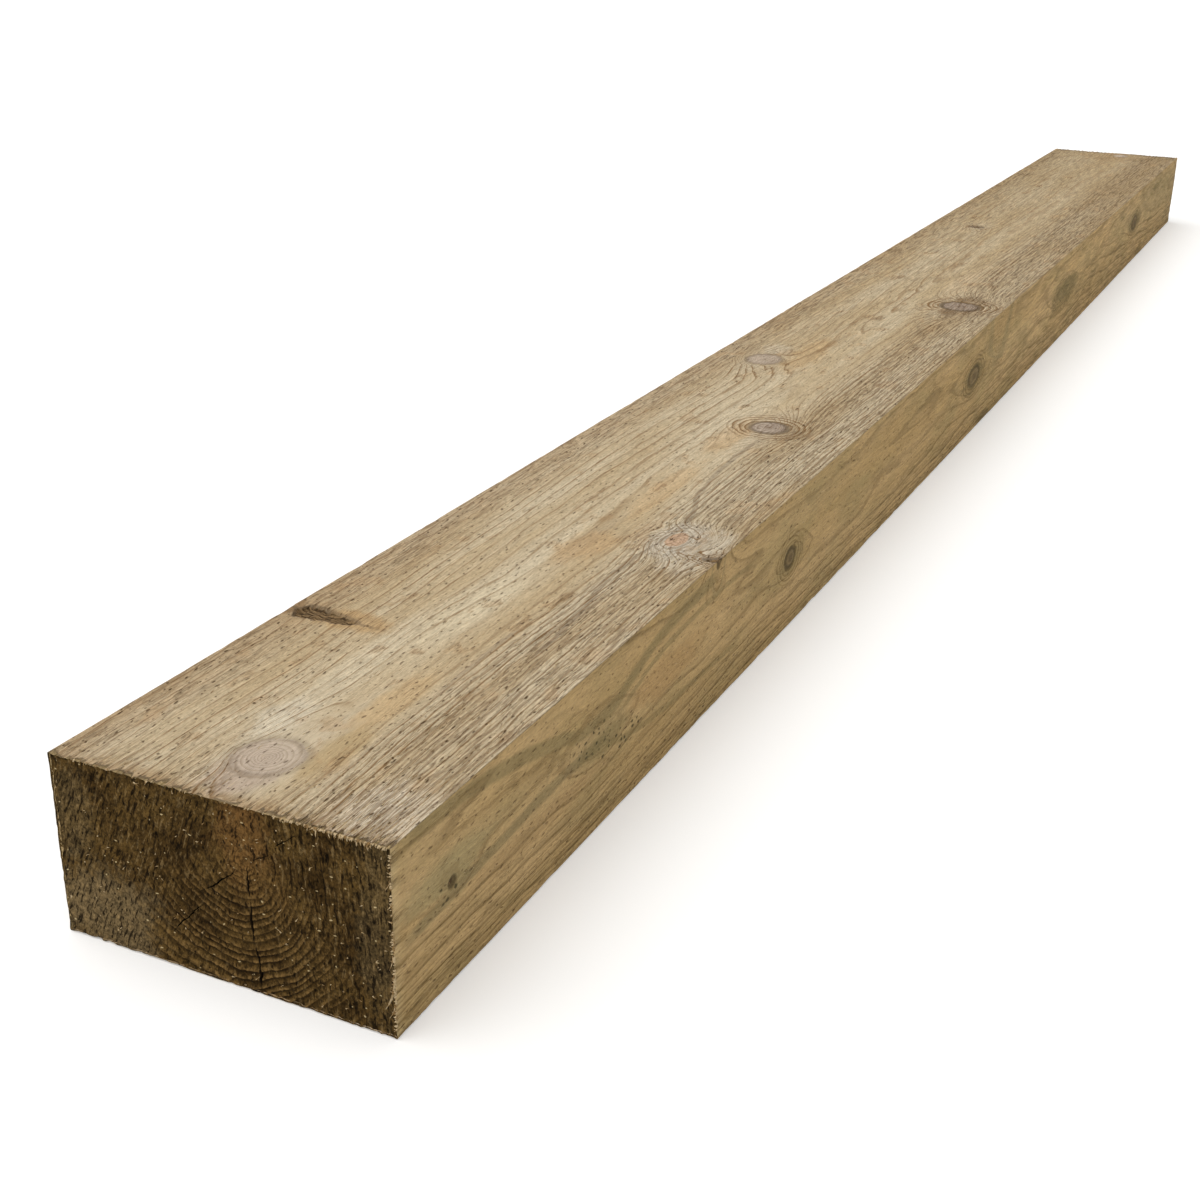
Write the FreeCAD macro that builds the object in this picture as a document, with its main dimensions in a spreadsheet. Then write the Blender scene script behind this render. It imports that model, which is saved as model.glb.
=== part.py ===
"""A softwood railway sleeper: one baulk, sawn to size and left rough, with drying checks in one end.

Frame, in millimetres: the origin is the middle of the underside, +X runs along the length towards the
plain end, +Y across the width, and +Z up. The checked end faces -X.
"""

import FreeCAD
import Part
import os
import Sketcher

# Driving sizes, in millimetres. Each becomes one cell of the spreadsheet, under this name.
SIZES = {
    "length": 2400.0,
    "width": 198.0,
    "thickness": 104.0,
    "arris_ease": 1.5,
    "pith_across": -18.0,
    "pith_below_top": 30.0,
    "check_depth": 24.0,
}

# The drying checks open the end grain along radii from the pith. Each row is one check: its angle
# about the pith in degrees, turning from +Y towards +Z, the distance from the pith to its near tip,
# its reach from tip to tip, and its gape at the middle.
CHECKS = [
    ("below_pith", 270.0, 3.0, 17.0, 1.0),
    ("below_middle", 269.0, 22.5, 24.0, 1.4),
    ("below_edge", 268.0, 48.0, 22.0, 1.8),
    ("left_inner", 319.0, 9.0, 27.0, 1.1),
    ("left_outer", 312.0, 43.0, 30.0, 1.2),
    ("right_inner", 152.0, 1.5, 13.0, 1.0),
    ("right_outer", 143.0, 22.0, 14.0, 1.0),
]

PROFILE_CORNERS = 4


def make_sheet(doc):
    """The spreadsheet that holds every driving size."""
    sheet = doc.addObject("Spreadsheet::Sheet", "Sizes")
    cells = dict(SIZES)
    for name, angle, start, reach, gape in CHECKS:
        cells[f"{name}_angle"] = angle
        cells[f"{name}_start"] = start
        cells[f"{name}_reach"] = reach
        cells[f"{name}_gape"] = gape
    for row, (alias, value) in enumerate(cells.items(), start=1):
        sheet.set(f"A{row}", alias)
        sheet.set(f"B{row}", str(value))
        sheet.setAlias(f"B{row}", alias)
    doc.recompute()
    return sheet


def section_plane(body):
    """The body's own YZ plane, whose sketches have +Y to the right and +Z up."""
    return next(plane for plane in body.Origin.OriginFeatures if plane.Role == "YZ_Plane")


def closed_outline(sketch, corners):
    """Draws straight lines round the corners, joined end to end."""
    for index, corner in enumerate(corners):
        following = corners[(index + 1) % len(corners)]
        line = Part.LineSegment(FreeCAD.Vector(*corner, 0), FreeCAD.Vector(*following, 0))
        sketch.addGeometry(line)
    for index in range(len(corners)):
        following = (index + 1) % len(corners)
        sketch.addConstraint(Sketcher.Constraint("Coincident", index, 2, following, 1))


def driven(sketch, constraint, name, expression):
    """Adds a dimension to the sketch and binds it to the spreadsheet."""
    number = sketch.addConstraint(constraint)
    sketch.renameConstraint(number, name)
    sketch.setExpression(f"Constraints.{name}", expression)


def sawn_section(body):
    """The rectangular section, standing on the sketch's horizontal axis and centred across it."""
    sketch = body.newObject("Sketcher::SketchObject", "SawnSection")
    sketch.AttachmentSupport = [(section_plane(body), "")]
    sketch.MapMode = "FlatFace"
    half, top = SIZES["width"] / 2, SIZES["thickness"]
    closed_outline(sketch, [(-half, 0), (half, 0), (half, top), (-half, top)])
    underside, right, upper, left = range(PROFILE_CORNERS)
    for line in (underside, upper):
        sketch.addConstraint(Sketcher.Constraint("Horizontal", line))
    for line in (right, left):
        sketch.addConstraint(Sketcher.Constraint("Vertical", line))
    sketch.addConstraint(Sketcher.Constraint("Symmetric", underside, 1, underside, 2, -1, 1))
    driven(sketch, Sketcher.Constraint("DistanceX", underside, 1, underside, 2, 2 * half),
           "across", "Sizes.width")
    driven(sketch, Sketcher.Constraint("DistanceY", right, 1, right, 2, top),
           "up", "Sizes.thickness")
    return sketch


def long_arrises(shape):
    """The names of the edges that run the whole length."""
    names = []
    for number, edge in enumerate(shape.Edges, start=1):
        first, last = edge.Vertexes[0].Point, edge.Vertexes[-1].Point
        if abs(abs(last.x - first.x) - shape.BoundBox.XLength) < 1e-6:
            names.append(f"Edge{number}")
    return names


def sawn_baulk(doc, body):
    """The baulk, padded both ways from the middle, with its long arrises eased by wear."""
    pad = body.newObject("PartDesign::Pad", "SawnLength")
    pad.Profile = sawn_section(body)
    pad.Midplane = True
    pad.setExpression("Length", "Sizes.length")
    doc.recompute()
    chamfer = body.newObject("PartDesign::Chamfer", "EasedArrises")
    chamfer.Base = (pad, long_arrises(pad.Shape))
    chamfer.setExpression("Size", "Sizes.arris_ease")
    doc.recompute()
    return chamfer


def drying_check(doc, body, name):
    """One check: a slit with a point at each end, cut straight in from the end face along a radius."""
    sketch = body.newObject("Sketcher::SketchObject", f"Outline_{name}")
    sketch.AttachmentSupport = [(section_plane(body), "")]
    sketch.MapMode = "FlatFace"
    angle = f"Sizes.{name}_angle * 1 deg"
    middle = f"(Sizes.{name}_start + Sizes.{name}_reach / 2)"
    sketch.setExpression("AttachmentOffset.Base.x", f"Sizes.pith_across + {middle} * cos({angle})")
    sketch.setExpression("AttachmentOffset.Base.y",
                         f"Sizes.thickness - Sizes.pith_below_top + {middle} * sin({angle})")
    sketch.setExpression("AttachmentOffset.Base.z", "-Sizes.length / 2")
    sketch.setExpression("AttachmentOffset.Rotation.Angle", angle)

    closed_outline(sketch, [(-5, 0), (0, -1), (5, 0), (0, 1)])
    inner_tip, lower_lip, outer_tip, upper_lip = range(PROFILE_CORNERS)
    horizontal_axis, vertical_axis, origin = -1, -2, (-1, 1)
    for corner, axis in ((inner_tip, horizontal_axis), (lower_lip, vertical_axis)):
        sketch.addConstraint(Sketcher.Constraint("PointOnObject", corner, 1, axis))
    sketch.addConstraint(Sketcher.Constraint("Symmetric", inner_tip, 1, outer_tip, 1, *origin))
    sketch.addConstraint(Sketcher.Constraint("Symmetric", lower_lip, 1, upper_lip, 1, *origin))
    driven(sketch, Sketcher.Constraint("DistanceX", inner_tip, 1, outer_tip, 1, 10),
           "reach", f"Sizes.{name}_reach")
    driven(sketch, Sketcher.Constraint("DistanceY", lower_lip, 1, upper_lip, 1, 2),
           "gape", f"Sizes.{name}_gape")

    pocket = body.newObject("PartDesign::Pocket", f"Check_{name}")
    pocket.Profile = sketch
    pocket.Reversed = True
    pocket.setExpression("Length", "Sizes.check_depth")
    before = body.Shape.Volume
    doc.recompute()
    if not pocket.Shape.Volume < before:
        raise RuntimeError(f"the check {name} cuts nothing")
    return pocket


def assert_sound(doc, body):
    """Stops before anything is written if an object failed or the timber isn't one valid solid."""
    for item in doc.Objects:
        if "Invalid" in item.State or "Error" in item.State:
            raise RuntimeError(f"{item.Name} failed: {item.State}")
    if body.Shape.isNull() or not body.Shape.isValid() or len(body.Shape.Solids) != 1:
        raise RuntimeError(f"{body.Label} isn't one valid solid")


def main():
    doc = FreeCAD.newDocument("railway_sleeper")
    make_sheet(doc)
    timber = doc.addObject("PartDesign::Body", "Timber")
    timber.Label = "sleeper_timber"
    sawn_baulk(doc, timber)
    for name, *_ in CHECKS:
        drying_check(doc, timber, name)
    doc.recompute()
    assert_sound(doc, timber)
    os.makedirs("parts", exist_ok=True)
    timber.Shape.exportStep(os.path.join("parts", f"{timber.Label}.step"))
    box = timber.Shape.BoundBox
    print(f"{timber.Label}: {box.XLength:.1f} x {box.YLength:.1f} x {box.ZLength:.1f} mm, "
          f"{timber.Shape.Volume / 1e6:.3f} litres")


main()
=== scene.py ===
import math
from collections import namedtuple

import bmesh
import bpy
import numpy as np
from mathutils import Matrix, Vector


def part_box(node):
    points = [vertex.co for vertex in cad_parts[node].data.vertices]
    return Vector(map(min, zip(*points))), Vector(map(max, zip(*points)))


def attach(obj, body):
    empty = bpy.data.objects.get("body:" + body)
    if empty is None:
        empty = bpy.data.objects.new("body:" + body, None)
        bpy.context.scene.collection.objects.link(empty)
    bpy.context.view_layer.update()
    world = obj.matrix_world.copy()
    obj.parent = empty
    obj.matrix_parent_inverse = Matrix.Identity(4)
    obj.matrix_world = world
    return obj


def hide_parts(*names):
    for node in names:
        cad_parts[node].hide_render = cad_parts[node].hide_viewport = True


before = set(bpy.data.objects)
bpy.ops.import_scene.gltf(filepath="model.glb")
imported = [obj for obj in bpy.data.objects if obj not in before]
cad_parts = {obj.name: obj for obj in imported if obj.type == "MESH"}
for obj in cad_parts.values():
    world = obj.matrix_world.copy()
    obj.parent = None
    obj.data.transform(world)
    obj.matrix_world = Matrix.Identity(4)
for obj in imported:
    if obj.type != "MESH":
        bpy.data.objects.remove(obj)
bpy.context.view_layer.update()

# The sleeper lies along X. Lengths named _MM are millimetres, as are all numbers inside the ring field.
# "Along" is measured in millimetres from the checked end, which faces -X.
MM = 0.001
LOW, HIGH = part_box("sleeper_timber")
LENGTH_MM = (HIGH[0] - LOW[0]) / MM
HALF_LENGTH_MM = LENGTH_MM / 2
HALF_WIDTH_MM = (HIGH[1] - LOW[1]) / MM / 2
THICKNESS_MM = (HIGH[2] - LOW[2]) / MM
SEED = 1825

# The pith: where it meets the checked end, and how it wanders along the length.
PITH_Y, PITH_Z = -18.0, 74.0
PITH_SWAY_Y, PITH_SWAY_Z = 7.0, 6.0
SWAY_LENGTH_Y, SWAY_LENGTH_Z = 610.0, 390.0
RING_PITCH = 5.0
LOPSIDED = 0.28

# Branches: name, along, y, z where the branch meets the surface, its radius there, how much longer than wide
# its cut looks, how far it swells the rings, how dark its bark ring is, and how deep it has hollowed.
Branch = namedtuple("Branch", "name along y z radius stretch swell rim hollow")
BRANCHES = [
    ("top_end", 45, 0, 104, 19.5, 1.08, 10, 0.35, 0.0),
    ("top_spike", 205, 99, 103, 9.2, 1.0, 2, 0.8, 0.8),
    ("arris_pocket", 394, -97, 104, 4.5, 1.1, 14, 1.0, 0.9),
    ("top_eye", 674, -27, 104, 15.5, 1.0, 26, 0.9, 0.0),
    ("top_faint", 872, 50, 104, 16.0, 1.2, 14, 0.5, 0.0),
    ("top_round", 1168, -53, 104, 20.0, 1.0, 32, 1.0, 0.0),
    ("top_slit", 1624, 41, 104, 9.0, 0.7, 10, 1.0, 0.7),
    ("top_far", 2368, -12, 104, 12.0, 1.3, 8, 0.35, 0.0),
    ("side_crescent", 54, -99, 56, 2.8, 1.4, 5, 1.0, 0.6),
    ("side_oval", 534, -99, 55, 7.0, 1.5, 12, 0.9, 0.0),
    ("side_long", 1067, -99, 60, 9.0, 2.2, 16, 0.9, 0.0),
    ("side_far", 2013, -99, 60, 9.0, 2.2, 10, 0.9, 0.0),
    ("back_near", 345, 99, 38, 9.0, 1.4, 14, 0.8, 0.0),
    ("back_second", 690, 99, 66, 12.0, 1.3, 16, 0.6, 0.0),
    ("back_middle", 1240, 99, 44, 8.0, 1.5, 13, 0.9, 0.3),
    ("back_fourth", 1700, 99, 60, 13.0, 1.2, 16, 0.6, 0.0),
    ("back_far", 2160, 99, 35, 9.0, 1.4, 12, 0.7, 0.0),
    ("under_near", 150, -40, 0, 10.0, 1.1, 13, 0.7, 0.0),
    ("under_second", 600, 24, 0, 14.0, 1.1, 16, 0.8, 0.0),
    ("under_middle", 1060, -46, 0, 11.0, 1.2, 14, 0.8, 0.2),
    ("under_fourth", 1530, 10, 0, 15.0, 1.0, 18, 0.6, 0.0),
    ("under_far", 2140, -20, 0, 12.0, 1.2, 14, 0.8, 0.0),
]
BRANCHES = [Branch(*row) for row in BRANCHES]
# The spike knot is cut along its length, so its axis lies just under the top face from here.
SPIKE = "top_spike"
SPIKE_START = (200.0, 30.0, 101.5)
# How far along its axis its wood begins to show, and the length over which it widens.
SPIKE_TIP = 19.0
SPIKE_LENGTH = 44.0
# Rings circle the knots whose bark ring is at least this dark, but for three of them.
CIRCLED_RIM = 0.75
UNCIRCLED = (SPIKE, "side_crescent", "top_slit")
# Swellings, where the rings bulge and no branch shows: along, y, z, reach along, reach across, bulge.
SWELLINGS = [
    (414, -63, 104, 18, 12, 9),
    (221, -99, 56, 36, 15, 10),
    (1515, -99, 58, 70, 15, 16),
]
# The burl by the right arris, where the grain turns like a screw: along, y, reach, and turn in radians.
BURL = (412.0, -66.0, 19.0, 2.4)
# Its orange core: along, y, and half its length and width.
BURL_CORE = (413.0, -60.0, 13.5, 6.8)

# Drying checks, as the CAD part has them: degrees about the pith from +Y towards +Z, how far from the pith
# each one starts, its reach and its gape.
CHECKS = [
    (270.0, 3.0, 17.0, 1.0),
    (269.0, 22.5, 24.0, 1.4),
    (268.0, 48.0, 22.0, 1.8),
    (319.0, 9.0, 27.0, 1.1),
    (312.0, 43.0, 30.0, 1.2),
    (152.0, 1.5, 13.0, 1.0),
    (143.0, 22.0, 14.0, 1.0),
]
CHECK_DEPTH_MM = 24.0


def srgb(red, green, blue):
    """A linear colour from the 0 to 255 values that a picture of it would show."""
    share = np.array([red, green, blue]) / 255.0
    linear = np.where(share <= 0.04045, share / 12.92, ((share + 0.055) / 1.055) ** 2.4)
    return (*map(float, linear), 1.0)


# ---------------------------------------------------------------- node arithmetic


class Wire:
    """A number or vector in a node tree. Arithmetic on it adds the Math node that does it."""

    def __init__(self, tree, socket):
        self.tree = tree
        self.socket = socket

    @property
    def is_vector(self):
        return self.socket.type == "VECTOR"

    def vector(self, operation, *values, result="Vector"):
        node = self.tree.nodes.new("ShaderNodeVectorMath")
        node.operation = operation
        for socket, value in zip(node.inputs, (self, *values)):
            plug(self.tree, socket, value)
        return Wire(self.tree, node.outputs[result])

    def math(self, operation, *values, clamp=False):
        node = self.tree.nodes.new("ShaderNodeMath")
        node.operation = operation
        node.use_clamp = clamp
        for socket, value in zip(node.inputs, (self, *values)):
            plug(self.tree, socket, value)
        return Wire(self.tree, node.outputs[0])

    def __add__(self, other):
        return self.vector("ADD", other) if self.is_vector else self.math("ADD", other)

    def __sub__(self, other):
        return self.vector("SUBTRACT", other) if self.is_vector else self.math("SUBTRACT", other)

    def __mul__(self, other):
        if not self.is_vector:
            return self.math("MULTIPLY", other)
        if isinstance(other, tuple):
            return self.vector("MULTIPLY", other)
        node = self.tree.nodes.new("ShaderNodeVectorMath")
        node.operation = "SCALE"
        plug(self.tree, node.inputs[0], self)
        plug(self.tree, node.inputs["Scale"], other)
        return Wire(self.tree, node.outputs["Vector"])

    def __truediv__(self, other):
        return self.math("DIVIDE", other)

    def rsub(self, number):
        """number - self"""
        node = self.tree.nodes.new("ShaderNodeMath")
        node.operation = "SUBTRACT"
        node.inputs[0].default_value = number
        plug(self.tree, node.inputs[1], self)
        return Wire(self.tree, node.outputs[0])

    def clamp(self):
        return self.math("ADD", 0.0, clamp=True)

    def rise(self, low, high):
        """0 below low, 1 above high, and a smooth step between them. low may be above high."""
        node = self.tree.nodes.new("ShaderNodeMapRange")
        node.interpolation_type = "SMOOTHSTEP"
        if low > high:
            low, high = high, low
            first, last = 1.0, 0.0
        else:
            first, last = 0.0, 1.0
        for name, value in (("From Min", low), ("From Max", high), ("To Min", first), ("To Max", last)):
            node.inputs[name].default_value = value
        plug(self.tree, node.inputs["Value"], self)
        return Wire(self.tree, node.outputs[0])

    def parts(self):
        node = self.tree.nodes.new("ShaderNodeSeparateXYZ")
        plug(self.tree, node.inputs[0], self)
        return [Wire(self.tree, output) for output in node.outputs]


def plug(tree, socket, value):
    """Links a wire to a socket, or writes a plain value on it."""
    if isinstance(value, Wire):
        tree.links.new(value.socket, socket)
    else:
        socket.default_value = value


def joined(tree, x, y, z):
    """A vector from three numbers."""
    node = tree.nodes.new("ShaderNodeCombineXYZ")
    for socket, value in zip(node.inputs, (x, y, z)):
        plug(tree, socket, value)
    return Wire(tree, node.outputs[0])


def noise(place, size, detail=2.0, roughness=0.5, seed=0.0):
    """Smooth noise from 0 to 1 whose features are about as large as size, three lengths in mm."""
    tree = place.tree
    shifted = place * tuple(1.0 / length for length in size) + (seed * 3.7, seed * 1.3, seed * 7.1)
    node = tree.nodes.new("ShaderNodeTexNoise")
    node.noise_dimensions = "3D"
    plug(tree, node.inputs["Vector"], shifted)
    node.inputs["Scale"].default_value = 1.0
    node.inputs["Detail"].default_value = detail
    node.inputs["Roughness"].default_value = roughness
    return Wire(tree, node.outputs[0])


def white(value, seed=0.0):
    """A random number from 0 to 1 for each whole number."""
    node = value.tree.nodes.new("ShaderNodeTexWhiteNoise")
    node.noise_dimensions = "2D"
    plug(value.tree, node.inputs["Vector"], joined(value.tree, value, seed, 0.0))
    return Wire(value.tree, node.outputs["Value"])


def blend(share, first, second):
    """first where share is 0 and second where it is 1, for colours."""
    node = share.tree.nodes.new("ShaderNodeMix")
    node.data_type = "RGBA"
    plug(share.tree, node.inputs[0], share)
    plug(share.tree, node.inputs[6], first)
    plug(share.tree, node.inputs[7], second)
    return Wire(share.tree, node.outputs[2])


def lerp(share, first, second):
    """The same for numbers."""
    node = share.tree.nodes.new("ShaderNodeMix")
    node.data_type = "FLOAT"
    plug(share.tree, node.inputs[0], share)
    plug(share.tree, node.inputs[2], first)
    plug(share.tree, node.inputs[3], second)
    return Wire(share.tree, node.outputs[0])


def larger(best, value):
    """The larger of two wires, or the second one while there is no first."""
    return value if best is None else best.math("MAXIMUM", value)

def shaded(colour, amount):
    """The colour made lighter or darker by a number around 1."""
    node = colour.tree.nodes.new("ShaderNodeVectorMath")
    node.operation = "SCALE"
    plug(colour.tree, node.inputs[0], colour)
    plug(colour.tree, node.inputs["Scale"], amount)
    return Wire(colour.tree, node.outputs["Vector"])


# ---------------------------------------------------------------- the wood's growth

FIELD_OUTPUTS = ("ring", "age", "knot", "rim", "hollow", "dead", "eye", "orbit")


def pith_at(x):
    """The pith's y and z at a distance from the checked end."""
    y = (x / SWAY_LENGTH_Y).math("SINE") * PITH_SWAY_Y + PITH_Y
    z = (x / SWAY_LENGTH_Z).math("SINE") * -PITH_SWAY_Z + PITH_Z
    return y, z


def pith_number(along):
    """The same for a plain number or an array."""
    y = np.sin(along / SWAY_LENGTH_Y) * PITH_SWAY_Y + PITH_Y
    z = -np.sin(along / SWAY_LENGTH_Z) * PITH_SWAY_Z + PITH_Z
    return y, z


def branch_axis(branch):
    """Where a branch leaves the pith, its direction, and its length to the surface."""
    name, along, y, z = branch[:4]
    pith_y, pith_z = pith_number(along)
    if name == SPIKE:
        start = Vector(SPIKE_START)
    elif abs(y) > 0.98 * HALF_WIDTH_MM:
        start = Vector((along - 8.0, pith_y, pith_z + (z - pith_z) * 0.8))
    else:
        start = Vector((along - 8.0, pith_y + (y - pith_y) * 0.8, pith_z))
    path = Vector((along, y, z)) - start
    return start, path.normalized(), path.length


def with_burl(place):
    """The place as it was before the burl twisted the grain round itself."""
    along, across, reach, turn = BURL
    centre = (along, across, THICKNESS_MM)
    away = (place - centre).vector("LENGTH", result="Value") * (1.0 / reach)
    node = place.tree.nodes.new("ShaderNodeVectorRotate")
    node.rotation_type = "Z_AXIS"
    plug(place.tree, node.inputs["Vector"], place)
    plug(place.tree, node.inputs["Center"], centre)
    plug(place.tree, node.inputs["Angle"], (away * away * -1.0).math("EXPONENT") * turn)
    return Wire(place.tree, node.outputs["Vector"])


def ring_field(tree, place):
    """The growth rings. age is the distance grown from the pith in mm, with branches growing out of it."""
    place = with_burl(place)
    x, y, z = place.parts()
    pith_y, pith_z = pith_at(x)
    side = y - pith_y
    rise = z - pith_z
    reach = (side * side + rise * rise).math("SQRT").math("MAXIMUM", 0.5)
    age = reach * reach / (reach + side * LOPSIDED)
    slow_warp = noise(place, (330.0, 42.0, 42.0), detail=1.0, seed=1.0) - 0.5
    quick_warp = noise(place, (60.0, 11.0, 11.0), detail=2.0, seed=2.0) - 0.5
    age = age + slow_warp * 16.0 * reach.rise(4.0, 40.0) + quick_warp * 3.2

    offsets = []
    eye = None
    for branch in BRANCHES:
        start, direction, length = branch_axis(branch)
        from_start = place - tuple(start)
        out = from_start.vector("DOT_PRODUCT", tuple(direction), result="Value")
        off = from_start - Wire(tree, constant(tree, tuple(direction))) * out
        spread = branch.radius * 0.9 + 8.0
        near = off * (0.5 / (spread * branch.stretch**0.5), 1.0 / spread, 1.0 / spread)
        near = near.vector("DOT_PRODUCT", near, result="Value")
        fade = (near * -1.0).math("EXPONENT") * out.rise(0.0, 12.0)
        age = age - fade * branch.swell
        if branch.name != SPIKE:
            eye = larger(eye, fade)
        across = off * (1.0 / branch.stretch, 1.0, 1.0)
        distance = across.vector("LENGTH", result="Value") + (out * -4.0).math("MAXIMUM", 0.0)
        offsets.append((branch, distance, out, length))

    for along, across, height, reach_along, reach_across, bulge in SWELLINGS:
        near = (place - (along, across, height)) * (1.0 / reach_along, 1.0 / reach_across, 1.0 / reach_across)
        near = near.vector("DOT_PRODUCT", near, result="Value")
        age = age - (near * -1.0).math("EXPONENT") * bulge

    knot = rim = hollow = dead = orbit = None
    wobble = quick_warp * 3.0
    for branch, distance, out, length in offsets:
        radius = branch.radius
        widening = radius / length
        branch_age = distance / widening
        width = out.math("MINIMUM", length) * widening
        is_spike = branch.name == SPIKE
        if is_spike:
            tapered = ((out - SPIKE_TIP) * (1.0 / SPIKE_LENGTH)).clamp().math("SQRT")
            width = tapered * out.rise(length - 3.0, length - 9.0) * radius
        edge = width - distance + wobble * (0.5 if is_spike else 1.0)
        inside = edge.rise(-0.6, 1.2)
        bark = edge.math("ABSOLUTE").rise(0.17 * radius + 1.4, 0.05 * radius) * branch.rim
        if not is_spike:
            age = age.math("SMOOTH_MIN", branch_age, 12.0)
            knot = larger(knot, inside)
        if branch.rim >= CIRCLED_RIM and branch.name not in UNCIRCLED:
            outside = edge * (-1.0 / (0.2 * radius + 2.0))
            orbit = outside if orbit is None else orbit.math("MINIMUM", outside)
        dead = larger(dead, inside * branch.rim)
        rim = larger(rim, bark)
        if branch.hollow:
            sunk = (edge - (0.3 if is_spike else 0.2 * radius)).rise(-0.5, 1.0) * branch.hollow
            hollow = larger(hollow, sunk)

    early = (age * (-1.0 / 20.0)).math("EXPONENT").rsub(1.0) * 5.0
    uneven = (noise(joined(tree, age, 0.0, 0.0), (13.0, 1.0, 1.0), detail=1.0, seed=3.0) - 0.5) * 1.6
    ring = age / RING_PITCH + early + uneven
    found = (ring, age, knot, rim, hollow, dead, eye, orbit)
    return dict(zip(FIELD_OUTPUTS, found))


def constant(tree, values):
    """A socket that holds a plain vector."""
    node = tree.nodes.new("ShaderNodeCombineXYZ")
    for socket, value in zip(node.inputs, values):
        socket.default_value = value
    return node.outputs[0]


def field_group(kind):
    """The ring field as a node group, for materials or for geometry nodes."""
    group = bpy.data.node_groups.new("ring_field_" + kind, kind)
    group.interface.new_socket("place", in_out="INPUT", socket_type="NodeSocketVector")
    for name in FIELD_OUTPUTS:
        group.interface.new_socket(name, in_out="OUTPUT", socket_type="NodeSocketFloat")
    start = group.nodes.new("NodeGroupInput")
    end = group.nodes.new("NodeGroupOutput")
    found = ring_field(group, Wire(group, start.outputs["place"]))
    for name in FIELD_OUTPUTS:
        plug(group, end.inputs[name], found[name])
    return group


def field_wires(tree, group, place):
    """The ring field's outputs at a place in a tree."""
    kind = "ShaderNodeGroup" if tree.bl_idname == "ShaderNodeTree" else "GeometryNodeGroup"
    node = tree.nodes.new(kind)
    node.node_tree = group
    plug(tree, node.inputs["place"], place)
    return {name: Wire(tree, node.outputs[name]) for name in FIELD_OUTPUTS}


def along_place(tree, metres):
    """Object coordinates in metres as millimetres, with x from the checked end."""
    return Wire(tree, metres) * (1 / MM, 1 / MM, 1 / MM) + (HALF_LENGTH_MM, 0.0, 0.0)


# ---------------------------------------------------------------- materials


def new_material(name):
    """A new material: itself, its tree and shader, the place in mm, and which way the surface faces."""
    material = bpy.data.materials.new(name)
    material.use_nodes = True
    tree = material.node_tree
    tree.nodes.clear()
    output = tree.nodes.new("ShaderNodeOutputMaterial")
    shader = tree.nodes.new("ShaderNodeBsdfPrincipled")
    tree.links.new(shader.outputs[0], output.inputs[0])
    shader.inputs["Specular IOR Level"].default_value = 0.12
    coordinates = tree.nodes.new("ShaderNodeTexCoord")
    place = along_place(tree, coordinates.outputs["Object"])
    facing = Wire(tree, coordinates.outputs["Normal"])
    return material, tree, shader, place, facing


def bumped(tree, shader, height, distance_mm, strength=1.0):
    """Bumps the surface by a height from 0 to 1 that stands for distance_mm."""
    node = tree.nodes.new("ShaderNodeBump")
    node.inputs["Strength"].default_value = strength
    node.inputs["Distance"].default_value = distance_mm * MM
    plug(tree, node.inputs["Height"], height)
    tree.links.new(node.outputs[0], shader.inputs["Normal"])


def ring_profile(ring, onset=0.35):
    """How dark the latewood is: it builds up slowly across a ring from its onset and stops at once."""
    share = ring.math("FRACT")
    return share.rise(onset, 0.9) * share.rise(1.0, 0.94)


def ticks(tree, x, across, cell, length, width, keep, seed):
    """Short dark dashes along the grain, at most one in each cell, as 0 to 1."""
    point = joined(tree, x / cell[0] + seed, across / cell[1] + seed, 0.0)
    node = tree.nodes.new("ShaderNodeTexVoronoi")
    node.voronoi_dimensions = "2D"
    node.feature = "F1"
    node.inputs["Scale"].default_value = 1.0
    plug(tree, node.inputs["Vector"], point)
    colour = Wire(tree, node.outputs["Color"])
    tone = tree.nodes.new("ShaderNodeSeparateColor")
    plug(tree, tone.inputs[0], colour)
    chance, size, slant = [Wire(tree, output) for output in tone.outputs]
    shift = point - Wire(tree, node.outputs["Position"])
    dx, dy, _ = shift.parts()
    dx = dx * cell[0]
    dy = dy * cell[1] + dx * (slant - 0.5) * 0.35
    size = size * 0.9 + 0.35
    bend = (noise(joined(tree, x, across, 0.0), (3.0, 3.0, 1.0), detail=0.0, seed=seed) - 0.5) * 0.8
    dx = dx / size * (1.0 / length)
    dy = (dy + bend) * (1.0 / width)
    near = (dx * dx + dy * dy).math("SQRT")
    return near.rise(1.0, 0.35) * chance.rise(1.0 - keep, 1.0 - keep + 0.02)


def traced(x, points):
    """A smooth curve through given points, each (along, value), read at x."""
    first, last = points[0][0], points[-1][0]
    low, high = min(value for _, value in points), max(value for _, value in points)
    node = x.tree.nodes.new("ShaderNodeFloatCurve")
    curve = node.mapping.curves[0]
    for _ in points[2:]:
        curve.points.new(0.5, 0.5)
    for spot, (along, value) in zip(curve.points, points):
        spot.location = ((along - first) / (last - first), (value - low) / (high - low))
    node.mapping.update()
    plug(x.tree, node.inputs["Value"], (x - first) * (1.0 / (last - first)))
    return Wire(x.tree, node.outputs[0]) * (high - low) + low


def with_bands(colour, x, across, bands, ragged):
    """Adds stripes that each follow a traced line and fade out at both ends."""
    for points, half, shade, share in bands:
        first, last = points[0][0], points[-1][0]
        ends = x.rise(first, first + 25.0) * x.rise(last, last - 25.0)
        away = (across - traced(x, points) + ragged * 3.0).math("ABSOLUTE")
        colour = blend(away.rise(half, half * 0.45) * ends * share, colour, srgb(*shade))
    return colour


def ellipse(x, across, along, at, reach_along, reach_across):
    """How far a place is from the middle of an ellipse: 0 at the middle and 1 on its edge."""
    dx = (x - along) * (1.0 / reach_along)
    dy = (across - at) * (1.0 / reach_across)
    return (dx * dx + dy * dy).math("SQRT")


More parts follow.
